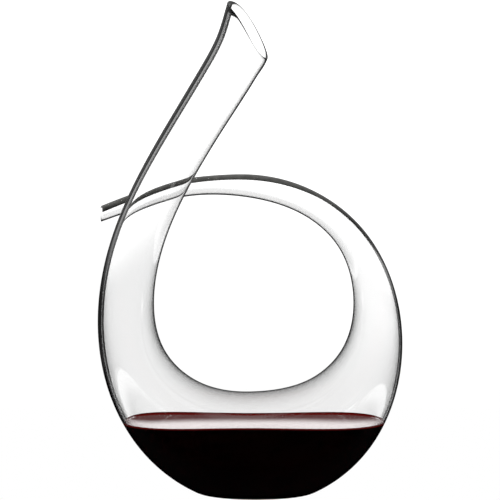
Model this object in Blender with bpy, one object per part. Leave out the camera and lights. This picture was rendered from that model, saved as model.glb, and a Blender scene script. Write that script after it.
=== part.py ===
"""Figure-six wine decanter of clear blown glass, with a black glass inlay and red wine.

One hollow tube, open at both ends, is bent into a ring that stands on its own base.
From the thin open tail it curls over the top of the eye as an arm, swells down the
right-hand side into a wide bowl, and rises on the left as a shoulder and a long neck.
The neck leans to the front and the tail passes behind it. The inlay follows the outer
spine of the tube from the tail to the lip, and the wine lies in the bowl.

All sizes are in millimetres and become metres when a mesh is made. The origin is the
middle of the base, +X is to the right, +Y to the back and +Z up.
"""
import math

import bmesh
import bpy
import numpy as np

MM = 0.001

# Overall form
EYE_X = 2.0
EYE_Z = 141.9
BASE_DIP = 8.4
BASE_BLEND = 1.8

# Glass at the base, and the gaps between solids
BASE_THICKENING = 1.6
GAP = 0.3

# Inlay in its groove along the outer spine
INLAY_THICKNESS = 0.7
GROOVE_DEPTH = INLAY_THICKNESS + GAP

# Wine
WINE_LEVEL = 51.2

# Mesh resolution
ROW_PITCH = 11.0
GROOVE_STEPS = 4
WALL_STEPS = 26
LIP_STEPS = 3
TANGENT_STEP = 0.5
SHARP_ANGLE = math.radians(35.0)

# Tail, from its tip: x, y, z of the centre, then the half width of the tube
TAIL_STATIONS = (
    (-107.3, 17.0, 199.2, 5.4),
    (-91.3, 18.0, 205.2, 5.7),
    (-43.7, 17.5, 218.4, 6.5),
    (-21.6, 15.0, 219.9, 7.2),
)

# Ring, clockwise from the top of the eye: angle above +X about the eye's centre, y,
# radius to the eye side of the tube, radius to its outer side, half depth front to back
RING_STATIONS = (
    (90, 11.0, 68.4, 85.3, 8.0),
    (60, 5.5, 66.5, 85.3, 9.6),
    (30, 1.5, 69.3, 91.0, 12.0),
    (0, 0.0, 71.4, 101.4, 20.0),
    (-30, 0.0, 74.4, 119.0, 39.5),
    (-60, 0.0, 72.0, 141.1, 57.0),
    (-90, 0.0, 70.1, EYE_Z + BASE_DIP, 62.0),
    (-120, 0.0, 73.0, 138.9, 57.0),
    (-150, 0.0, 74.4, 120.5, 43.5),
    (-180, -1.5, 70.2, 109.0, 27.0),
)

# Neck, up to the mouth: x, y, z of the centre, half width, half depth
NECK_STATIONS = (
    (-72.7, -6.0, 197.6, 18.1, 18.2),
    (-54.05, -11.4, 234.3, 17.85, 17.9),
    (-33.3, -17.9, 268.3, 18.05, 18.0),
    (-17.7, -25.0, 292.6, 18.5, 18.3),
    (-7.0, -31.8, 311.3, 18.9, 18.7),
    (-1.4, -37.6, 325.1, 19.6, 19.0),
)

# Station counted from the tail: wall at the outer spine, wall at the eye side, half width
# of the inlay, and how far the inlay is turned from the spine to the front, in degrees
SKIN_STATIONS = (
    (0, 1.5, 1.2, 3.6, 44.0),
    (3, 1.7, 1.2, 3.8, 33.0),
    (5, 2.2, 1.2, 4.2, 25.0),
    (7, 1.5, 1.1, 2.6, 3.0),
    (10, 1.4, 1.3, 3.6, 0.0),
    (13, 2.0, 1.1, 4.6, 0.0),
    (15, 2.8, 1.3, 5.7, -0.5),
    (19, 3.0, 1.4, 6.1, -1.5),
)

# Slanted ends: slope of the cut across the tube, and the length over which it builds up.
# The mouth's rim also bulges beside its tip, more at the front, and drops opposite it.
MOUTH_SLANT = math.radians(34.0)
MOUTH_SLANT_RUN = 48.0
MOUTH_BULGE = 2.7
MOUTH_TWIST = 0.8
MOUTH_DROP = 1.6
TAIL_SLANT = math.radians(20.0)
TAIL_SLANT_RUN = 9.0

# Glass sections from the tail to the mouth, each ending at a station counted from the tail
SECTION_ENDS = (
    ("glass_tail", 4),
    ("glass_arm", 7),
    ("glass_bowl_right", 9),
    ("glass_bowl_base", 11),
    ("glass_bowl_left", 13),
    ("glass_shoulder", 15),
    ("glass_neck", 19),
)

CLEAR = ((0.93, 0.96, 0.95, 1.0), 0.02)
BLACK = ((0.01, 0.01, 0.01, 1.0), 0.05)
RED = ((0.12, 0.005, 0.012, 1.0), 0.02)


def spline(knots, values, at):
    """Natural cubic spline through the values at the knots, read at the places in at."""
    steps = np.diff(knots)
    slopes = np.diff(values, axis=0) / steps[:, None]
    matrix = np.eye(len(knots))
    bend_source = np.zeros_like(values)
    for i in range(1, len(knots) - 1):
        matrix[i, i - 1:i + 2] = steps[i - 1], 2.0 * (steps[i - 1] + steps[i]), steps[i]
        bend_source[i] = 6.0 * (slopes[i] - slopes[i - 1])
    bends = np.linalg.solve(matrix, bend_source)
    span = np.clip(np.searchsorted(knots, at, side="right") - 1, 0, len(steps) - 1)
    step = steps[span][:, None]
    after = (at - knots[span])[:, None]
    before = step - after
    curve = (bends[span] * before ** 3 + bends[span + 1] * after ** 3) / (6.0 * step)
    curve += (values[span] / step - bends[span] * step / 6.0) * before
    curve += (values[span + 1] / step - bends[span + 1] * step / 6.0) * after
    return curve


def stations():
    """Centre x, y, z, half width and half depth at each station, from tail to mouth."""
    rows = [(x, y, z, half, half) for x, y, z, half in TAIL_STATIONS]
    for angle, y, near, far, depth in RING_STATIONS:
        turn = math.radians(angle)
        reach = 0.5 * (near + far)
        x = EYE_X + reach * math.cos(turn)
        z = EYE_Z + reach * math.sin(turn)
        rows.append((x, y, z, 0.5 * (far - near), depth))
    rows.extend(NECK_STATIONS)
    return np.array(rows)


STATIONS = stations()
KNOTS = np.concatenate(([0.0], np.cumsum(np.linalg.norm(np.diff(STATIONS[:, :3], axis=0), axis=1))))
LENGTH = KNOTS[-1]
SKIN = np.array(SKIN_STATIONS)
SKIN_KNOTS = KNOTS[SKIN[:, 0].astype(int)]


def ramp(value):
    """Rises smoothly from 0 to 1 as the value goes from 0 to 1."""
    value = min(max(value, 0.0), 1.0)
    return value * value * (3.0 - 2.0 * value)


def mouth_share(place):
    """Rises from 0 in the neck to 1 at the mouth."""
    return ramp(1.0 - (LENGTH - place) / MOUTH_SLANT_RUN) ** 2


def slant(place):
    """Slope of the ring at a place along the tube: zero except near the slanted ends."""
    tail = ramp(1.0 - place / TAIL_SLANT_RUN)
    return mouth_share(place) * math.tan(MOUTH_SLANT) + tail * math.tan(TAIL_SLANT)


def mouth_lift(turn):
    """How far the mouth's rim stands out of its slanted plane, round the tube."""
    bulge = (MOUTH_BULGE - MOUTH_TWIST * math.sin(turn)) * math.sin(turn) ** 2 * (1.0 + math.cos(turn))
    return bulge - MOUTH_DROP * 0.5 * (1.0 - math.cos(turn))


class Ring:
    """The tube's cross-section at one place along it."""

    def __init__(self, place):
        near = np.array([place - TANGENT_STEP, place, place + TANGENT_STEP])
        values = spline(KNOTS, STATIONS, near)
        along = values[2, :3] - values[0, :3]
        self.along = along / np.linalg.norm(along)
        across = np.array([0.0, 1.0, 0.0]) - self.along[1] * self.along
        self.across = across / np.linalg.norm(across)
        self.out = np.cross(self.along, self.across) + slant(place) * self.along
        self.mouth_share = mouth_share(place)
        self.centre = values[1, :3]
        self.half_width, self.half_depth = values[1, 3:]
        skin = spline(SKIN_KNOTS, SKIN[:, 1:], np.array([place]))[0]
        self.spine_wall, self.eye_wall, self.inlay_half_width, inlay_turn = skin
        self.inlay_turn = -math.radians(inlay_turn)

    def point(self, turn, inset, floor=0.0, forward=0.0):
        """Point at an angle from the outer spine, inset from the outer surface."""
        spot = self.centre + (self.half_width - inset) * math.cos(turn) * self.out
        spot = spot + (self.half_depth - inset) * math.sin(turn) * self.across
        lift = forward + self.mouth_share * mouth_lift(turn)
        spot = spot + lift * self.along
        spot[2] = flattened(spot[2], floor)
        return spot

    def wall(self, turn):
        """Thickness of the glass, greatest at the spine and least at the eye side."""
        share = 0.5 + 0.5 * math.cos(turn)
        return self.eye_wall + (self.spine_wall - self.eye_wall) * share

    def inlay_turns(self, widening=0.0):
        """Angles across the inlay, from its front edge to its back edge."""
        edge = math.asin((self.inlay_half_width + widening) / self.half_depth)
        return np.linspace(self.inlay_turn - edge, self.inlay_turn + edge, GROOVE_STEPS + 1)


def flattened(height, floor):
    """Keeps a height above the floor, with a short smooth blend into it."""
    excess = height - floor
    if excess > BASE_BLEND:
        return height
    if excess < -BASE_BLEND:
        return floor
    return floor + (excess + BASE_BLEND) ** 2 / (4.0 * BASE_BLEND)


def outer_row(ring, lip_inset=0.0, forward=0.0):
    """Outer outline of the glass at a ring, with the groove for the inlay."""
    groove = ring.inlay_turns(GAP)
    rest = np.linspace(groove[-1], 2.0 * math.pi + groove[0], WALL_STEPS + 1)
    depth = max(GROOVE_DEPTH, lip_inset)
    row = [ring.point(turn, depth, depth, forward) for turn in groove]
    row += [ring.point(turn, lip_inset, 0.0, forward) for turn in rest]
    return row


def inner_row(ring, clearance=0.0):
    """Outline of the bore at a ring, with as many points as the outer outline."""
    turns = np.linspace(0.0, 2.0 * math.pi, GROOVE_STEPS + WALL_STEPS + 2, endpoint=False)
    row = []
    for turn in turns + ring.inlay_turns(GAP)[0]:
        inset = ring.wall(turn) + clearance
        row.append(ring.point(turn, inset, inset + BASE_THICKENING))
    return row


def section_places(start, end):
    """Places of the rings of one section, a half gap inside its inner ends."""
    first = start + GAP / 2.0 if start > 0.0 else 0.0
    last = end - GAP / 2.0 if end < LENGTH else LENGTH
    count = max(2, round((last - first) / ROW_PITCH)) + 1
    return np.linspace(first, last, count)


def add_rows(shape, rows):
    """Adds rows of points joined by quads, and returns their vertices row by row."""
    grid = [[shape.verts.new([value * MM for value in spot]) for spot in row] for row in rows]
    for low, high in zip(grid, grid[1:]):
        join_rows(shape, low, high)
    return grid


def join_rows(shape, low, high):
    for k in range(len(low)):
        shape.faces.new((low[k - 1], low[k], high[k], high[k - 1]))


def add_object(name, shape, finish):
    """Object from a finished mesh, with its own plain material."""
    bmesh.ops.triangulate(shape, faces=shape.faces[:])
    bmesh.ops.recalc_face_normals(shape, faces=shape.faces[:])
    mesh = bpy.data.meshes.new(name)
    shape.to_mesh(mesh)
    shape.free()
    mesh.shade_smooth()
    mesh.set_sharp_from_angle(angle=SHARP_ANGLE)
    material = bpy.data.materials.new(name)
    material.use_nodes = True
    shader = material.node_tree.nodes["Principled BSDF"]
    shader.inputs["Base Color"].default_value, shader.inputs["Roughness"].default_value = finish
    mesh.materials.append(material)
    thing = bpy.data.objects.new(name, mesh)
    bpy.context.scene.collection.objects.link(thing)


def lip_rows(ring, outward):
    """Rounded edge of an open end, from the outer side to the bore."""
    rows = []
    for step in range(1, LIP_STEPS + 1):
        turn = math.pi * step / (LIP_STEPS + 1)
        radius = ring.eye_wall / 2.0
        inset = radius * (1.0 - math.cos(turn))
        rows.append(outer_row(ring, inset, outward * radius * math.sin(turn)))
    return rows


def glass_section(name, start, end):
    """One length of the glass tube."""
    rings = [Ring(place) for place in section_places(start, end)]
    rows = [outer_row(ring) for ring in rings]
    if end == LENGTH:
        rows += lip_rows(rings[-1], 1.0)
    rows += [inner_row(ring) for ring in reversed(rings)]
    if start == 0.0:
        rows += reversed(lip_rows(rings[0], -1.0))
    shape = bmesh.new()
    grid = add_rows(shape, rows)
    join_rows(shape, grid[-1], grid[0])
    add_object(name, shape, CLEAR)


def black_inlay(places):
    """The inlay: a thin strip that fills its groove but for the gap."""
    rows = []
    for ring in map(Ring, places):
        turns = ring.inlay_turns()
        row = [ring.point(turn, 0.0) for turn in turns]
        row += [ring.point(turn, INLAY_THICKNESS, INLAY_THICKNESS) for turn in reversed(turns)]
        rows.append(row)
    shape = bmesh.new()
    grid = add_rows(shape, rows)
    shape.faces.new(grid[0])
    shape.faces.new(grid[-1])
    add_object("black_inlay", shape, BLACK)


def wine(places):
    """The wine: the bore of the bowl, a gap smaller, cut off at the wine's level."""
    shape = bmesh.new()
    add_rows(shape, [inner_row(Ring(place), GAP) for place in places])
    everything = shape.verts[:] + shape.edges[:] + shape.faces[:]
    bmesh.ops.bisect_plane(shape, geom=everything, dist=1e-7, plane_co=(0.0, 0.0, WINE_LEVEL * MM),
                           plane_no=(0.0, 0.0, 1.0), clear_outer=True)
    rim = [edge for edge in shape.edges if edge.is_boundary]
    bmesh.ops.contextual_create(shape, geom=rim)
    add_object("wine", shape, RED)


def main():
    for thing in list(bpy.data.objects):
        bpy.data.objects.remove(thing, do_unlink=True)
    start = 0.0
    inlay_places = []
    bowl_places = []
    for name, station in SECTION_ENDS:
        end = KNOTS[station]
        glass_section(name, start, end)
        places = section_places(start, end)
        inlay_places.extend(places)
        if name.startswith("glass_bowl"):
            bowl_places.extend(places)
        start = end
    black_inlay(inlay_places)
    wine(bowl_places)


main()
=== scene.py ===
"""Looks of the figure-six wine decanter: one seamless blown-glass vessel, black inlay and red wine.

The vessel is a hollow tube bent into a ring, open at its thin tail and at its mouth. The CAD
model holds it as sections with gaps between them; here it is one smooth surface inside and
out, with the inlay fused into its wall and the wine touching the glass. Lengths are in
millimetres and become metres when a mesh is made.
"""
import math

import bmesh
import bpy
import numpy as np
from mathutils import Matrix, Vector


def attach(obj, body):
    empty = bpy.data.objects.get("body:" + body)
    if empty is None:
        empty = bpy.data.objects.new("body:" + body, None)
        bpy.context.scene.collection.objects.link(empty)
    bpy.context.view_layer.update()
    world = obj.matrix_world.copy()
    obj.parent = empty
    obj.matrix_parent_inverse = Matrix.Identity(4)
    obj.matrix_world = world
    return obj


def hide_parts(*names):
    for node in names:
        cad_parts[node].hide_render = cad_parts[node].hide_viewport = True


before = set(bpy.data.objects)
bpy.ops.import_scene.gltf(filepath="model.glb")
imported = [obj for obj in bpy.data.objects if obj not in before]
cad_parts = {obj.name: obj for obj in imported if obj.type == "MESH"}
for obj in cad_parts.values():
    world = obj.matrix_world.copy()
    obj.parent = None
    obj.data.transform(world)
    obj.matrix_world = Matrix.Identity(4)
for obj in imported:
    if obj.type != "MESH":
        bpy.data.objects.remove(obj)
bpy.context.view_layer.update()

MM = 0.001

# Overall form
EYE_X = 2.0
EYE_Z = 141.9
BASE_DIP = 8.4
BASE_BLEND = 1.8
BASE_THICKENING = 1.6

# Tail, from its tip: x, y, z of the centre, then the half width of the tube
TAIL_STATIONS = (
    (-107.3, 17.0, 199.2, 5.4),
    (-91.3, 18.0, 205.2, 5.7),
    (-43.7, 17.5, 218.4, 6.5),
    (-21.6, 15.0, 219.9, 7.2),
)

# Ring, clockwise from the top of the eye: angle above +X about the eye's centre, y,
# radius to the eye side of the tube, radius to its outer side, half depth front to back
RING_STATIONS = (
    (90, 11.0, 68.4, 85.3, 8.0),
    (60, 5.5, 66.5, 85.3, 9.6),
    (30, 1.5, 69.3, 91.0, 12.0),
    (0, 0.0, 71.4, 101.4, 20.0),
    (-30, 0.0, 74.4, 119.0, 39.5),
    (-60, 0.0, 72.0, 141.1, 57.0),
    (-90, 0.0, 70.1, EYE_Z + BASE_DIP, 62.0),
    (-120, 0.0, 73.0, 138.9, 57.0),
    (-150, 0.0, 74.4, 120.5, 43.5),
    (-180, -1.5, 70.2, 109.0, 27.0),
)

# Neck, up to the mouth: x, y, z of the centre, half width, half depth
NECK_STATIONS = (
    (-72.7, -6.0, 197.6, 18.1, 18.2),
    (-54.05, -11.4, 234.3, 17.85, 17.9),
    (-33.3, -17.9, 268.3, 18.05, 18.0),
    (-17.7, -25.0, 292.6, 18.5, 18.3),
    (-7.0, -31.8, 311.3, 18.9, 18.7),
    (-1.4, -37.6, 325.1, 19.6, 19.0),
)

# Station counted from the tail: wall at the outer spine, wall at the eye side, half width
# of the inlay, and how far the inlay is turned from the spine to the front, in degrees
SKIN_STATIONS = (
    (0, 1.5, 1.2, 3.6, 44.0),
    (3, 1.7, 1.2, 3.8, 33.0),
    (5, 2.2, 1.1, 4.2, 25.0),
    (7, 1.3, 0.8, 2.6, 3.0),
    (10, 0.9, 0.8, 3.6, 0.0),
    (13, 1.9, 0.8, 4.6, 0.0),
    (15, 2.8, 1.2, 5.7, -0.5),
    (19, 3.0, 1.4, 6.1, -1.5),
)

# Slanted ends: slope of the cut across the tube, and the length over which it builds up.
# The mouth's rim also bulges beside its tip, more at the front, and drops opposite it.
MOUTH_SLANT = math.radians(34.0)
MOUTH_SLANT_RUN = 48.0
MOUTH_BULGE = 2.7
MOUTH_TWIST = 0.8
MOUTH_DROP = 1.6
TAIL_SLANT = math.radians(20.0)
TAIL_SLANT_RUN = 9.0

# Inlay fused into the outside of the glass: how far it stands out, its thickness
# in its middle and how far that thins to its sides, and the bare glass past each end
INLAY_RISE = 0.03
INLAY_THICKNESS = 0.7
INLAY_THINNING = 0.96
INLAY_AROUND = 16
INLAY_ENDS = 0.7

# Wine: the stations it lies between, its level, how far it bites into the glass so that no
# air shows between them, and its rim, which climbs the glass by 0.1 mm at the front, 0.6 at
# the sides and 1.1 at the back
WINE_STATIONS = (7, 13)
WINE_LEVEL = 51.1
WINE_BITE = 0.15
MENISCUS_RISE = 0.6
MENISCUS_SPREAD = 0.6
MENISCUS_LEAN = 0.0095
MENISCUS_RINGS = (0.3, 0.7, 1.2, 1.9, 2.8, 4.2, 6.5, 10.0)
MENISCUS_CHORD = 8.0

# Mesh resolution
ROW_PITCH = 2.5
AROUND = 96
LIP_STEPS = 7
TANGENT_STEP = 0.5

# How close to the wine's cut a vertex counts as on it, in metres
CUT_PRECISION = 1e-7

# Patterns in the materials: noise scale and detail
TINT_NOISE = (18.0, 2.0)
HAZE_NOISE = (60.0, 4.0)
WAVE_NOISE = (25.0, 1.0)
INLAY_NOISE = (220.0, 5.0)
POLISH_NOISE = (90.0, 3.0)
WINE_NOISE = (30.0, 3.0)
STREAK_STOPS = (0.3, 0.7)

# Colours between which each material drifts
GLASS_TINTS = ((0.997, 0.999, 0.998, 1.0), (1.0, 1.0, 1.0, 1.0))
INLAY_BLACKS = ((0.005, 0.005, 0.0048, 1.0), (0.009, 0.009, 0.0085, 1.0))
WINE_REDS = ((0.0012, 0.0001, 0.0002, 1.0), (0.003, 0.0003, 0.0005, 1.0))

# Roughness from the pattern: its low and high end, and the roughness at each
GLASS_HAZE = (0.3, 0.8, 0.0, 0.006)
INLAY_POLISH = (0.25, 0.75, 0.09, 0.15)
WINE_HAZE = (0.3, 0.8, 0.0, 0.01)

# Depth of the waves in the surface, in metres, and refraction
GLASS_WAVES = 0.000002
INLAY_WAVES = 0.00001
GLASS_IOR = 1.5
INLAY_IOR = 1.3
WINE_IOR = 1.34

# Painted red glow on the wine's top: emission that stands in for light shining through thin
# wine. Heights in metres where it starts and is full, and the strength at each
WINE_TOP_PAINTED_GLOW = (0.0500, 0.0508, 0.0, 0.07)
WINE_TOP_PAINTED_GLOW_RED = (1.0, 0.06, 0.05, 1.0)

# Surround that is seen directly or through the glass. Each ramp gives its two ends, as
# sines along a world direction, and the brightness at each: by elevation, and what is
# added towards +X, which fades in from below
BACKDROP = (-0.01, 0.07, 1.01, 1.45)
RIGHT_SIDE = (0.0, 0.07, 0.0, 0.16)
RIGHT_SIDE_LEVEL = (-0.085, -0.02, 0.0, 1.0)

# Surround that the glass mirrors: by elevation, what is added below, and how it fades out
# towards -Y
FLOOR_GLOW = 0.06
MIRRORED = (0.04, 0.32, 0.02, 0.36)
MIRRORED_BELOW = (-0.25, -0.03, FLOOR_GLOW, 0.0)
MIRRORED_BEHIND = (-0.15, 0.15, 0.0, 1.0)

# White panel that the wine's surface mirrors: its soft lower and upper edges
PANEL_FOOT = (0.0970, 0.1045, 0.10, 1.7)
PANEL_HEAD = (0.15, 0.30, 1.7, 0.0)

# Depths that tell rays apart: mirrored at least once, passed through glass, and passed
# through both of the vessel's walls, in and out of each
ONCE = 0.5
BOTH_WALLS = 3.5

# Floor, lamp and camera, in metres, and the lamp's power in watts
FLOOR_RADIUS = 0.7
FLOOR_SIDES = 128
FLOOR_Z = -0.0003
FLOOR_ROUGHNESS = 0.9
FLOOR_BEHIND = (-0.1, 0.05, 0.0, FLOOR_GLOW)
LAMP_SIZE = 0.4
LAMP_POWER = 140.0
LAMP_PLACE = (-0.35, 0.15, 0.95)
CAMERA_DISTANCE = 1.2
CAMERA_HEIGHT = 0.1729
FRAME_HEIGHT = 0.3565
SENSOR_MM = 36.0


def spline(knots, values, at):
    """Natural cubic spline through the values at the knots, read at the places in at."""
    steps = np.diff(knots)
    slopes = np.diff(values, axis=0) / steps[:, None]
    matrix = np.eye(len(knots))
    bend_source = np.zeros_like(values)
    for i in range(1, len(knots) - 1):
        matrix[i, i - 1:i + 2] = steps[i - 1], 2.0 * (steps[i - 1] + steps[i]), steps[i]
        bend_source[i] = 6.0 * (slopes[i] - slopes[i - 1])
    bends = np.linalg.solve(matrix, bend_source)
    span = np.clip(np.searchsorted(knots, at, side="right") - 1, 0, len(steps) - 1)
    step = steps[span][:, None]
    after = (at - knots[span])[:, None]
    before = step - after
    curve = (bends[span] * before ** 3 + bends[span + 1] * after ** 3) / (6.0 * step)
    curve += (values[span] / step - bends[span] * step / 6.0) * before
    curve += (values[span + 1] / step - bends[span + 1] * step / 6.0) * after
    return curve


def stations():
    """Centre x, y, z, half width and half depth at each station, from tail to mouth."""
    rows = [(x, y, z, half, half) for x, y, z, half in TAIL_STATIONS]
    for angle, y, near, far, depth in RING_STATIONS:
        turn = math.radians(angle)
        reach = 0.5 * (near + far)
        x = EYE_X + reach * math.cos(turn)
        z = EYE_Z + reach * math.sin(turn)
        rows.append((x, y, z, 0.5 * (far - near), depth))
    rows.extend(NECK_STATIONS)
    return np.array(rows)


STATIONS = stations()
CHORDS = np.linalg.norm(np.diff(STATIONS[:, :3], axis=0), axis=1)
KNOTS = np.concatenate(([0.0], np.cumsum(CHORDS)))
LENGTH = KNOTS[-1]
SKIN = np.array(SKIN_STATIONS)
SKIN_KNOTS = KNOTS[SKIN[:, 0].astype(int)]


def ramp(value):
    """Rises smoothly from 0 to 1 as the value goes from 0 to 1."""
    value = np.clip(value, 0.0, 1.0)
    return value * value * (3.0 - 2.0 * value)


def mouth_share(places):
    """Rises from 0 in the neck to 1 at the mouth."""
    return ramp(1.0 - (LENGTH - places) / MOUTH_SLANT_RUN) ** 2


def slant(places):
    """Slope of the rings at places along the tube: zero except near the slanted ends."""
    tail = ramp(1.0 - places / TAIL_SLANT_RUN)
    return mouth_share(places) * math.tan(MOUTH_SLANT) + tail * math.tan(TAIL_SLANT)


def mouth_lift(turns):
    """How far the mouth's rim stands out of its slanted plane, round the tube."""
    bulge = MOUTH_BULGE - MOUTH_TWIST * np.sin(turns)
    bulge = bulge * np.sin(turns) ** 2 * (1.0 + np.cos(turns))
    return bulge - MOUTH_DROP * 0.5 * (1.0 - np.cos(turns))


def flattened(height, floor):
    """Keeps heights above the floor, with a short smooth blend into it."""
    excess = height - floor
    blend = floor + (excess + BASE_BLEND) ** 2 / (4.0 * BASE_BLEND)
    return np.where(excess > BASE_BLEND, height, np.where(excess < -BASE_BLEND, floor, blend))


class Rings:
    """The tube's cross-sections at many places along it."""

    def __init__(self, places):
        places = np.asarray(places, dtype=float)
        low = spline(KNOTS, STATIONS, places - TANGENT_STEP)
        middle = spline(KNOTS, STATIONS, places)
        high = spline(KNOTS, STATIONS, places + TANGENT_STEP)
        along = high[:, :3] - low[:, :3]
        self.along = along / np.linalg.norm(along, axis=1)[:, None]
        across = np.array([0.0, 1.0, 0.0]) - self.along[:, 1:2] * self.along
        self.across = across / np.linalg.norm(across, axis=1)[:, None]
        self.out = np.cross(self.along, self.across) + slant(places)[:, None] * self.along
        self.mouth_share = mouth_share(places)[:, None]
        self.centre = middle[:, :3]
        self.half_width = middle[:, 3:4]
        self.half_depth = middle[:, 4:5]
        skin = spline(SKIN_KNOTS, SKIN[:, 1:], places)
        self.spine_wall = skin[:, 0:1]
        self.eye_wall = skin[:, 1:2]
        self.inlay_half_width = skin[:, 2:3]
        self.inlay_turn = -np.radians(skin[:, 3:4])
        self.count = len(places)

    def turns(self):
        """Angles round every ring, from the outer spine."""
        turns = np.linspace(0.0, 2.0 * math.pi, AROUND, endpoint=False)
        return np.tile(turns, (self.count, 1))

    def wall(self, turns):
        """Thickness of the glass, greatest at the spine and least at the eye side."""
        return self.eye_wall + (self.spine_wall - self.eye_wall) * (0.5 + 0.5 * np.cos(turns))

    def points(self, turns, inset, floor, forward=0.0):
        """Points at angles from the outer spine, inset from the outer surface."""
        wide = (self.half_width - inset) * np.cos(turns)
        deep = (self.half_depth - inset) * np.sin(turns)
        spots = self.centre[:, None, :] + wide[..., None] * self.out[:, None, :]
        spots = spots + deep[..., None] * self.across[:, None, :]
        lift = forward + self.mouth_share * mouth_lift(turns)
        spots = spots + lift[..., None] * self.along[:, None, :]
        spots[..., 2] = flattened(spots[..., 2], floor)
        return spots


def add_grid(shape, grid):
    """Adds rows of points joined by quads, and returns their vertices row by row."""
    rows = [[shape.verts.new(Vector(spot)) for spot in row] for row in grid * MM]
    for low, high in zip(rows, rows[1:]):
        join_rows(shape, low, high)
    return rows


def join_rows(shape, low, high):
    """Closed band of quads between two rows of vertices."""
    for k in range(len(low)):
        shape.faces.new((low[k - 1], low[k], high[k], high[k - 1]))


def add_piece(name, shape, material, nodes):
    """Smooth piece from a finished mesh, in place of the CAD nodes of the same thing."""
    bmesh.ops.recalc_face_normals(shape, faces=shape.faces[:])
    mesh = bpy.data.meshes.new(name)
    shape.to_mesh(mesh)
    shape.free()
    mesh.shade_smooth()
    mesh.materials.append(material)
    thing = bpy.data.objects.new(name, mesh)
    bpy.context.scene.collection.objects.link(thing)
    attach(thing, "root")
    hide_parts(*nodes)
    return thing


def tube_places(start, end):
    """Evenly spaced places along the tube from start to end."""
    return np.linspace(start, end, round((end - start) / ROW_PITCH) + 1)


def lip(ring, step, outward):
    """One row of the rounded edge of an open end."""
    turns = ring.turns()
    radius = ring.wall(turns) / 2.0
    turn = math.pi * step / (LIP_STEPS + 1)
    forward = outward * ring.eye_wall[0, 0] / 2.0 * math.sin(turn)
    return ring.points(turns, radius * (1.0 - math.cos(turn)), 0.0, forward)


def vessel(material):
    """The whole glass tube as one closed surface: outside, mouth, bore and tail."""
    rings = Rings(tube_places(0.0, LENGTH))
    turns = rings.turns()
    wall = rings.wall(turns)
    outside = rings.points(turns, 0.0, 0.0)
    bore = rings.points(turns, wall, wall + BASE_THICKENING)
    mouth = [lip(Rings([LENGTH]), step, 1.0) for step in range(1, LIP_STEPS + 1)]
    tail = [lip(Rings([0.0]), step, -1.0) for step in range(LIP_STEPS, 0, -1)]
    shape = bmesh.new()
    rows = add_grid(shape, np.concatenate([outside] + mouth + [bore[::-1]] + tail))
    join_rows(shape, rows[-1], rows[0])
    nodes = [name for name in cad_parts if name.startswith("glass_")]
    return add_piece("glass_vessel", shape, material, nodes)


def inlay(material):
    """The black ribbon let into the outside of the wall, rounded on its inner side."""
    rings = Rings(tube_places(INLAY_ENDS, LENGTH - INLAY_ENDS))
    edge = np.arcsin(rings.inlay_half_width / rings.half_depth)
    share = np.linspace(-1.0, 1.0, INLAY_AROUND + 1)
    rounding = np.sqrt(1.0 - INLAY_THINNING * share ** 2)
    outer = np.full(INLAY_AROUND + 1, -INLAY_RISE)
    inner = outer + INLAY_THICKNESS * rounding
    turns = rings.inlay_turn + edge * np.concatenate((share, share[::-1]))
    inset = np.tile(np.concatenate((outer, inner[::-1])), (rings.count, 1))
    shape = bmesh.new()
    rows = add_grid(shape, rings.points(turns, inset, inset))
    shape.faces.new(rows[0])
    shape.faces.new(rows[-1])
    return add_piece("black_stripe", shape, material, ["black_inlay"])


def ordered_rim(shape):
    """Vertices of the wine's upper rim, in order round it."""
    top = max(vert.co.z for vert in shape.verts)
    open_edges = [edge for edge in shape.edges if edge.is_boundary]
    start = next(e for e in open_edges if min(v.co.z for v in e.verts) > top - MM)
    rim = list(start.verts)
    edge = start
    while True:
        edge = next(e for e in rim[-1].link_edges if e.is_boundary and e is not edge)
        vert = edge.other_vert(rim[-1])
        if vert is rim[0]:
            return rim
        rim.append(vert)


def read_loop(outline, knots, places):
    """Points x, y of a closed outline at places along it."""
    loop = np.concatenate((outline, outline[:1]))
    places = places % knots[-1]
    return np.stack([np.interp(places, knots, loop[:, axis]) for axis in (0, 1)], axis=1)


def inward_normals(outline):
    """Level directions from every point of a closed outline to its inside, evened out."""
    steps = np.linalg.norm(np.roll(outline, -1, axis=0) - outline, axis=1)
    knots = np.concatenate(([0.0], np.cumsum(steps)))
    after = read_loop(outline, knots, knots[:-1] + MENISCUS_CHORD)
    before = read_loop(outline, knots, knots[:-1] - MENISCUS_CHORD)
    tangent = after - before
    normal = np.stack((-tangent[:, 1], tangent[:, 0], np.zeros(len(tangent))), axis=1)
    normal /= np.linalg.norm(normal, axis=1)[:, None]
    if np.sum(normal * (outline.mean(axis=0) - outline)) < 0.0:
        normal = -normal
    return normal


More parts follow.
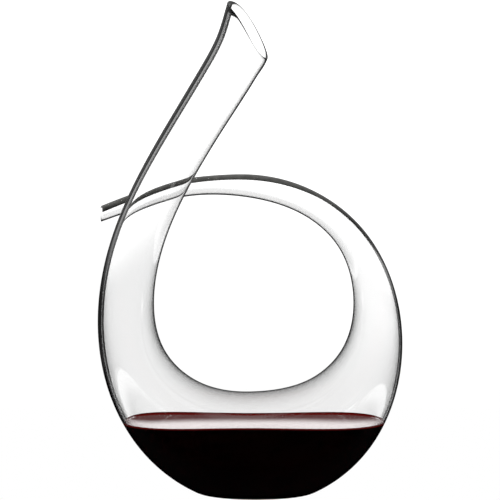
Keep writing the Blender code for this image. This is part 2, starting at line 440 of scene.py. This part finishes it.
def wine(material):
    """The wine: the bore of the bowl up to its level, with a rim that climbs the glass."""
    first, last = WINE_STATIONS
    rings = Rings(tube_places(KNOTS[first], KNOTS[last]))
    turns = rings.turns()
    inset = rings.wall(turns) - WINE_BITE
    shape = bmesh.new()
    add_grid(shape, rings.points(turns, inset, inset + BASE_THICKENING))
    top = WINE_LEVEL + MENISCUS_RISE
    everything = shape.verts[:] + shape.edges[:] + shape.faces[:]
    bmesh.ops.bisect_plane(shape, geom=everything, dist=CUT_PRECISION, clear_outer=True,
                           plane_co=(0.0, 0.0, top * MM), plane_no=(0.0, -MENISCUS_LEAN, 1.0))
    rim = ordered_rim(shape)
    outline = np.array([vert.co[:] for vert in rim]) / MM
    climb = outline[:, 2] - WINE_LEVEL
    inward = inward_normals(outline)
    previous = rim
    for reach in MENISCUS_RINGS:
        fade = 1.0 - reach / MENISCUS_RINGS[-1]
        spots = outline + reach * inward
        spots[:, 2] = WINE_LEVEL + climb * math.exp(-reach / MENISCUS_SPREAD) * fade
        ring = [shape.verts.new(Vector(spot * MM)) for spot in spots]
        join_rows(shape, previous, ring)
        previous = ring
    shape.faces.new(previous)
    bmesh.ops.triangulate(shape, faces=[face for face in shape.faces if len(face.verts) > 4])
    return add_piece("red_wine", shape, material, ["wine"])


def new_material(name):
    """Material with its node tree and its shader."""
    material = bpy.data.materials.new(name)
    material.use_nodes = True
    tree = material.node_tree
    return material, tree, tree.nodes["Principled BSDF"]


def noise(tree, scale, detail):
    """Soft noise pattern fixed to the piece."""
    coords = tree.nodes.new("ShaderNodeTexCoord")
    node = tree.nodes.new("ShaderNodeTexNoise")
    node.inputs["Scale"].default_value = scale
    node.inputs["Detail"].default_value = detail
    tree.links.new(coords.outputs["Object"], node.inputs["Vector"])
    return node.outputs["Fac"]


def streaks(tree, pattern, dark, light):
    """Colour that drifts between two shades with the pattern."""
    node = tree.nodes.new("ShaderNodeValToRGB")
    stops = node.color_ramp.elements
    for stop, place, colour in zip(stops, STREAK_STOPS, (dark, light)):
        stop.position = place
        stop.color = colour
    tree.links.new(pattern, node.inputs[0])
    return node.outputs[0]


def waviness(tree, pattern, depth):
    """Faint waves in the surface, as deep as given in metres."""
    node = tree.nodes.new("ShaderNodeBump")
    node.inputs["Strength"].default_value = 1.0
    node.inputs["Distance"].default_value = depth
    tree.links.new(pattern, node.inputs["Height"])
    return node.outputs["Normal"]


def glass_material():
    """Clear blown glass: a trace of tint, of haze and of waviness."""
    material, tree, shader = new_material("clear_glass_look")
    tint = streaks(tree, noise(tree, *TINT_NOISE), *GLASS_TINTS)
    haze = smooth_ramp(tree, noise(tree, *HAZE_NOISE), *GLASS_HAZE)
    waves = waviness(tree, noise(tree, *WAVE_NOISE), GLASS_WAVES)
    tree.links.new(tint, shader.inputs["Base Color"])
    tree.links.new(haze, shader.inputs["Roughness"])
    tree.links.new(waves, shader.inputs["Normal"])
    shader.inputs["Transmission Weight"].default_value = 1.0
    shader.inputs["IOR"].default_value = GLASS_IOR
    return material


def inlay_material():
    """Black glass, with fine drawn streaks and an uneven polish."""
    material, tree, shader = new_material("black_glass_look")
    fine = noise(tree, *INLAY_NOISE)
    black = streaks(tree, fine, *INLAY_BLACKS)
    polish = smooth_ramp(tree, noise(tree, *POLISH_NOISE), *INLAY_POLISH)
    tree.links.new(black, shader.inputs["Base Color"])
    tree.links.new(polish, shader.inputs["Roughness"])
    tree.links.new(waviness(tree, fine, INLAY_WAVES), shader.inputs["Normal"])
    shader.inputs["IOR"].default_value = INLAY_IOR
    return material


def wine_material():
    """Dark red wine, a little redder in drifting patches, with a painted red glow at its top."""
    material, tree, shader = new_material("red_wine_look")
    drift = noise(tree, *WINE_NOISE)
    red = streaks(tree, drift, *WINE_REDS)
    tree.links.new(red, shader.inputs["Base Color"])
    tree.links.new(smooth_ramp(tree, drift, *WINE_HAZE), shader.inputs["Roughness"])
    # Painted glow: red emission on the wine's top, standing in for light shining through the wine.
    glow = smooth_ramp(tree, axes(tree, "Object")["Z"], *WINE_TOP_PAINTED_GLOW)
    shader.inputs["Emission Color"].default_value = WINE_TOP_PAINTED_GLOW_RED
    tree.links.new(glow, shader.inputs["Emission Strength"])
    shader.inputs["IOR"].default_value = WINE_IOR
    return material


def axes(tree, coordinates):
    """X, Y and Z of a place on a piece, or of a direction in the world."""
    coords = tree.nodes.new("ShaderNodeTexCoord")
    split = tree.nodes.new("ShaderNodeSeparateXYZ")
    tree.links.new(coords.outputs[coordinates], split.inputs[0])
    return split.outputs


def smooth_ramp(tree, source, low, high, below, above):
    """Value that goes smoothly from below to above as the source goes from low to high."""
    node = tree.nodes.new("ShaderNodeMapRange")
    node.interpolation_type = "SMOOTHSTEP"
    node.inputs["From Min"].default_value = low
    node.inputs["From Max"].default_value = high
    node.inputs["To Min"].default_value = below
    node.inputs["To Max"].default_value = above
    tree.links.new(source, node.inputs["Value"])
    return node.outputs["Result"]


def arithmetic(tree, operation, first, second):
    """Sum, product or comparison of an output with another output or a number."""
    node = tree.nodes.new("ShaderNodeMath")
    node.operation = operation
    tree.links.new(first, node.inputs[0])
    if isinstance(second, float):
        node.inputs[1].default_value = second
    else:
        tree.links.new(second, node.inputs[1])
    return node.outputs[0]


def choose(tree, factor, off, on):
    """Value that is off where the factor is 0 and on where it is 1."""
    node = tree.nodes.new("ShaderNodeMix")
    tree.links.new(factor, node.inputs["Factor"])
    tree.links.new(off, node.inputs["A"])
    tree.links.new(on, node.inputs["B"])
    return node.outputs["Result"]


def direct_light(tree, direction):
    """White surround, brighter above the floor and on the right."""
    backdrop = smooth_ramp(tree, direction["Z"], *BACKDROP)
    right = smooth_ramp(tree, direction["X"], *RIGHT_SIDE)
    level = smooth_ramp(tree, direction["Z"], *RIGHT_SIDE_LEVEL)
    return arithmetic(tree, "ADD", backdrop, arithmetic(tree, "MULTIPLY", right, level))


def edge_light(tree, direction):
    """Dark surround that the glass mirrors, black towards -Y."""
    side = smooth_ramp(tree, direction["Z"], *MIRRORED)
    below = smooth_ramp(tree, direction["Z"], *MIRRORED_BELOW)
    behind = smooth_ramp(tree, direction["Y"], *MIRRORED_BEHIND)
    return arithmetic(tree, "MULTIPLY", arithmetic(tree, "ADD", side, below), behind)


def panel_light(tree, direction):
    """White panel that the wine's surface mirrors."""
    foot = smooth_ramp(tree, direction["Z"], *PANEL_FOOT)
    head = smooth_ramp(tree, direction["Z"], *PANEL_HEAD)
    return arithmetic(tree, "MINIMUM", foot, head)


def studio():
    """White surround, with a darker one and a white panel for what glass and wine mirror."""
    scene = bpy.context.scene
    scene.view_settings.view_transform = "Standard"
    scene.world = bpy.data.worlds.new("studio")
    scene.world.use_nodes = True
    tree = scene.world.node_tree
    direction = axes(tree, "Generated")
    path = tree.nodes.new("ShaderNodeLightPath")
    mirrored = arithmetic(tree, "GREATER_THAN", path.outputs["Glossy Depth"], ONCE)
    inside = arithmetic(tree, "GREATER_THAN", path.outputs["Transmission Depth"], BOTH_WALLS)
    in_mirror = choose(tree, inside, edge_light(tree, direction), panel_light(tree, direction))
    seen = choose(tree, mirrored, direct_light(tree, direction), in_mirror)
    tree.links.new(seen, tree.nodes["Background"].inputs["Color"])
    floor(scene)
    lamp(scene)


def lamp(scene):
    """Soft overhead light. It isn't seen directly, in a mirror image or through glass."""
    light = bpy.data.lights.new("overhead", "AREA")
    light.shape = "DISK"
    light.size = LAMP_SIZE
    light.energy = LAMP_POWER
    thing = bpy.data.objects.new("overhead", light)
    thing.location = LAMP_PLACE
    thing.rotation_euler = Vector(LAMP_PLACE).to_track_quat("Z", "Y").to_euler()
    thing.visible_camera = False
    thing.visible_glossy = False
    thing.visible_transmission = False
    scene.collection.objects.link(thing)


def floor(scene):
    """Pale table, white by its own light: full when seen directly, none in a mirror image,
    and a glow behind the object in a mirror image that is seen through glass."""
    shape = bmesh.new()
    bmesh.ops.create_circle(shape, cap_ends=True, segments=FLOOR_SIDES, radius=FLOOR_RADIUS)
    mesh = bpy.data.meshes.new("floor")
    shape.to_mesh(mesh)
    shape.free()
    table = bpy.data.objects.new("floor", mesh)
    table.location.z = FLOOR_Z
    scene.collection.objects.link(table)
    material, tree, shader = new_material("pale_floor")
    shader.inputs["Base Color"].default_value = (0.0, 0.0, 0.0, 1.0)
    shader.inputs["Roughness"].default_value = FLOOR_ROUGHNESS
    shader.inputs["Specular IOR Level"].default_value = 0.0
    shader.inputs["Emission Color"].default_value = (1.0, 1.0, 1.0, 1.0)
    path = tree.nodes.new("ShaderNodeLightPath")
    direct = arithmetic(tree, "LESS_THAN", path.outputs["Glossy Depth"], ONCE)
    through = arithmetic(tree, "GREATER_THAN", path.outputs["Transmission Depth"], ONCE)
    behind = smooth_ramp(tree, axes(tree, "Object")["Y"], *FLOOR_BEHIND)
    glow = arithmetic(tree, "MULTIPLY", through, behind)
    light = arithmetic(tree, "MAXIMUM", glow, direct)
    tree.links.new(light, shader.inputs["Emission Strength"])
    mesh.materials.append(material)


def camera():
    """Level camera in front of the object."""
    data = bpy.data.cameras.new("camera")
    data.sensor_width = SENSOR_MM
    data.lens = data.sensor_width * CAMERA_DISTANCE / FRAME_HEIGHT
    thing = bpy.data.objects.new("camera", data)
    bpy.context.scene.collection.objects.link(thing)
    thing.location = (0.0, -CAMERA_DISTANCE, CAMERA_HEIGHT)
    thing.rotation_euler = (math.pi / 2.0, 0.0, 0.0)
    bpy.context.scene.camera = thing


vessel(glass_material())
inlay(inlay_material())
wine(wine_material())
studio()
camera()
